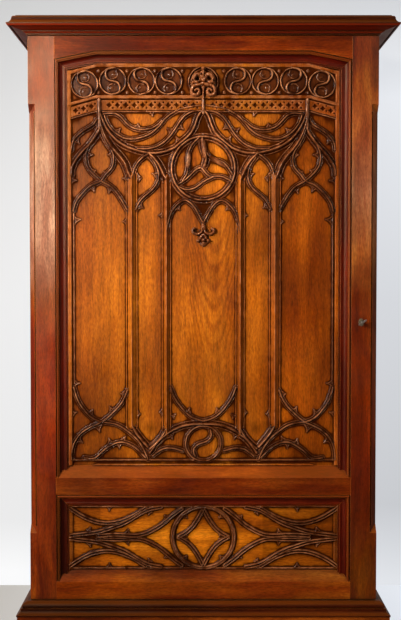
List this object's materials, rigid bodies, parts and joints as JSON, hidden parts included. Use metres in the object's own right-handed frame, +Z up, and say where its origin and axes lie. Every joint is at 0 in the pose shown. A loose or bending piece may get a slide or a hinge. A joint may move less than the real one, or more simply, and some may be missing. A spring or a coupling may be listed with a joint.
{
  "type": "bonnetiere cabinet",
  "caption": "Tall free-standing wooden press with a full-width pivoting door, framed panels of blind Gothic tracery, moulded cornice, stepped base, shelves, lock and turning key.",
  "frame": {"origin": "on the floor, under the middle of the overall width and of the overall depth from the cornice's front to the back boards", "axes": "+Z up, +X to the viewer's right when facing the door, the door faces -Y"},
  "size_m": [1.216, 0.558, 1.959],
  "materials": {
    "walnut_frame": "old waxed walnut, reddish brown, soft gloss with dark crevices",
    "walnut_field": "waxed walnut, lighter orange brown, upright grain",
    "walnut_carved": "carved walnut with polished high edges and near-black recesses",
    "oak_inside": "dry unpolished oak",
    "iron": "dark forged iron",
    "key_steel": "worn bright steel",
    "bush_brass": "turned brass",
    "escutcheon_brass": "dull aged brass"
  },
  "bodies": {
    "carcass": {"back_boards": "oak_inside", "base_moulding_front": "walnut_frame", "base_moulding_left": "walnut_frame", "base_moulding_right": "walnut_frame", "bottom_board": "oak_inside", "carcass_screws": "iron", "cornice_front": "walnut_frame", "cornice_left": "walnut_frame", "cornice_right": "walnut_frame", "left_back_post": "walnut_frame", "left_bottom_rail": "walnut_frame", "left_front_post": "walnut_frame", "left_lower_panel": "walnut_frame", "left_middle_rail": "walnut_frame", "left_top_rail": "walnut_frame", "left_upper_panel": "walnut_frame", "lock_keeper": "iron", "pivot_plate_bottom": "iron", "pivot_plate_top": "iron", "plinth_back": "oak_inside", "plinth_blocks": "oak_inside", "plinth_front": "walnut_frame", "plinth_left": "walnut_frame", "plinth_right": "walnut_frame", "right_back_post": "walnut_frame", "right_bottom_rail": "walnut_frame", "right_front_post": "walnut_frame", "right_lower_panel": "walnut_frame", "right_middle_rail": "walnut_frame", "right_top_rail": "walnut_frame", "right_upper_panel": "walnut_frame", "shelf_1": "oak_inside", "shelf_2": "oak_inside", "shelf_3": "oak_inside", "shelf_cleats": "oak_inside", "top_board": "oak_inside"},
    "door": {"door_bottom_rail": "walnut_frame", "door_middle_rail": "walnut_frame", "door_top_rail": "walnut_frame", "escutcheon": "escutcheon_brass", "frieze_tracery": "walnut_carved", "hinge_stile": "walnut_frame", "lock_case": "iron", "lock_screws": "iron", "lock_stile": "walnut_frame", "lower_moulding_head": "walnut_frame", "lower_moulding_left": "walnut_frame", "lower_moulding_right": "walnut_frame", "lower_panel": "walnut_field", "lower_tracery": "walnut_carved", "pendant_finial": "walnut_carved", "pivot_bushes": "bush_brass", "top_finial": "walnut_carved", "upper_moulding_head": "walnut_frame", "upper_moulding_left": "walnut_frame", "upper_moulding_right": "walnut_frame", "upper_panel": "walnut_field", "upper_tracery": "walnut_carved"},
    "key": {"key": "key_steel"},
    "lock_bolt": {"lock_bolt": "iron"}
  },
  "joints": [
    {"name": "door_hinge", "type": "hinge", "parent": "carcass", "child": "door", "pos_m": [-0.538, -0.197, 1.0125], "axis": [0, 0, -1], "range_deg": [0, 95]},
    {"name": "key_turn", "type": "hinge", "parent": "door", "child": "key", "pos_m": [0.498, -0.221, 1.006], "axis": [0, 1, 0], "range_deg": [0, 180]},
    {"name": "bolt_slide", "type": "slide", "parent": "door", "child": "lock_bolt", "axis": [1, 0, 0], "range_m": [0, 0.012]}
  ],
  "couplings": [
    {"joint": "key_turn", "follows": "bolt_slide", "rad_per_m": 261.8}
  ]
}
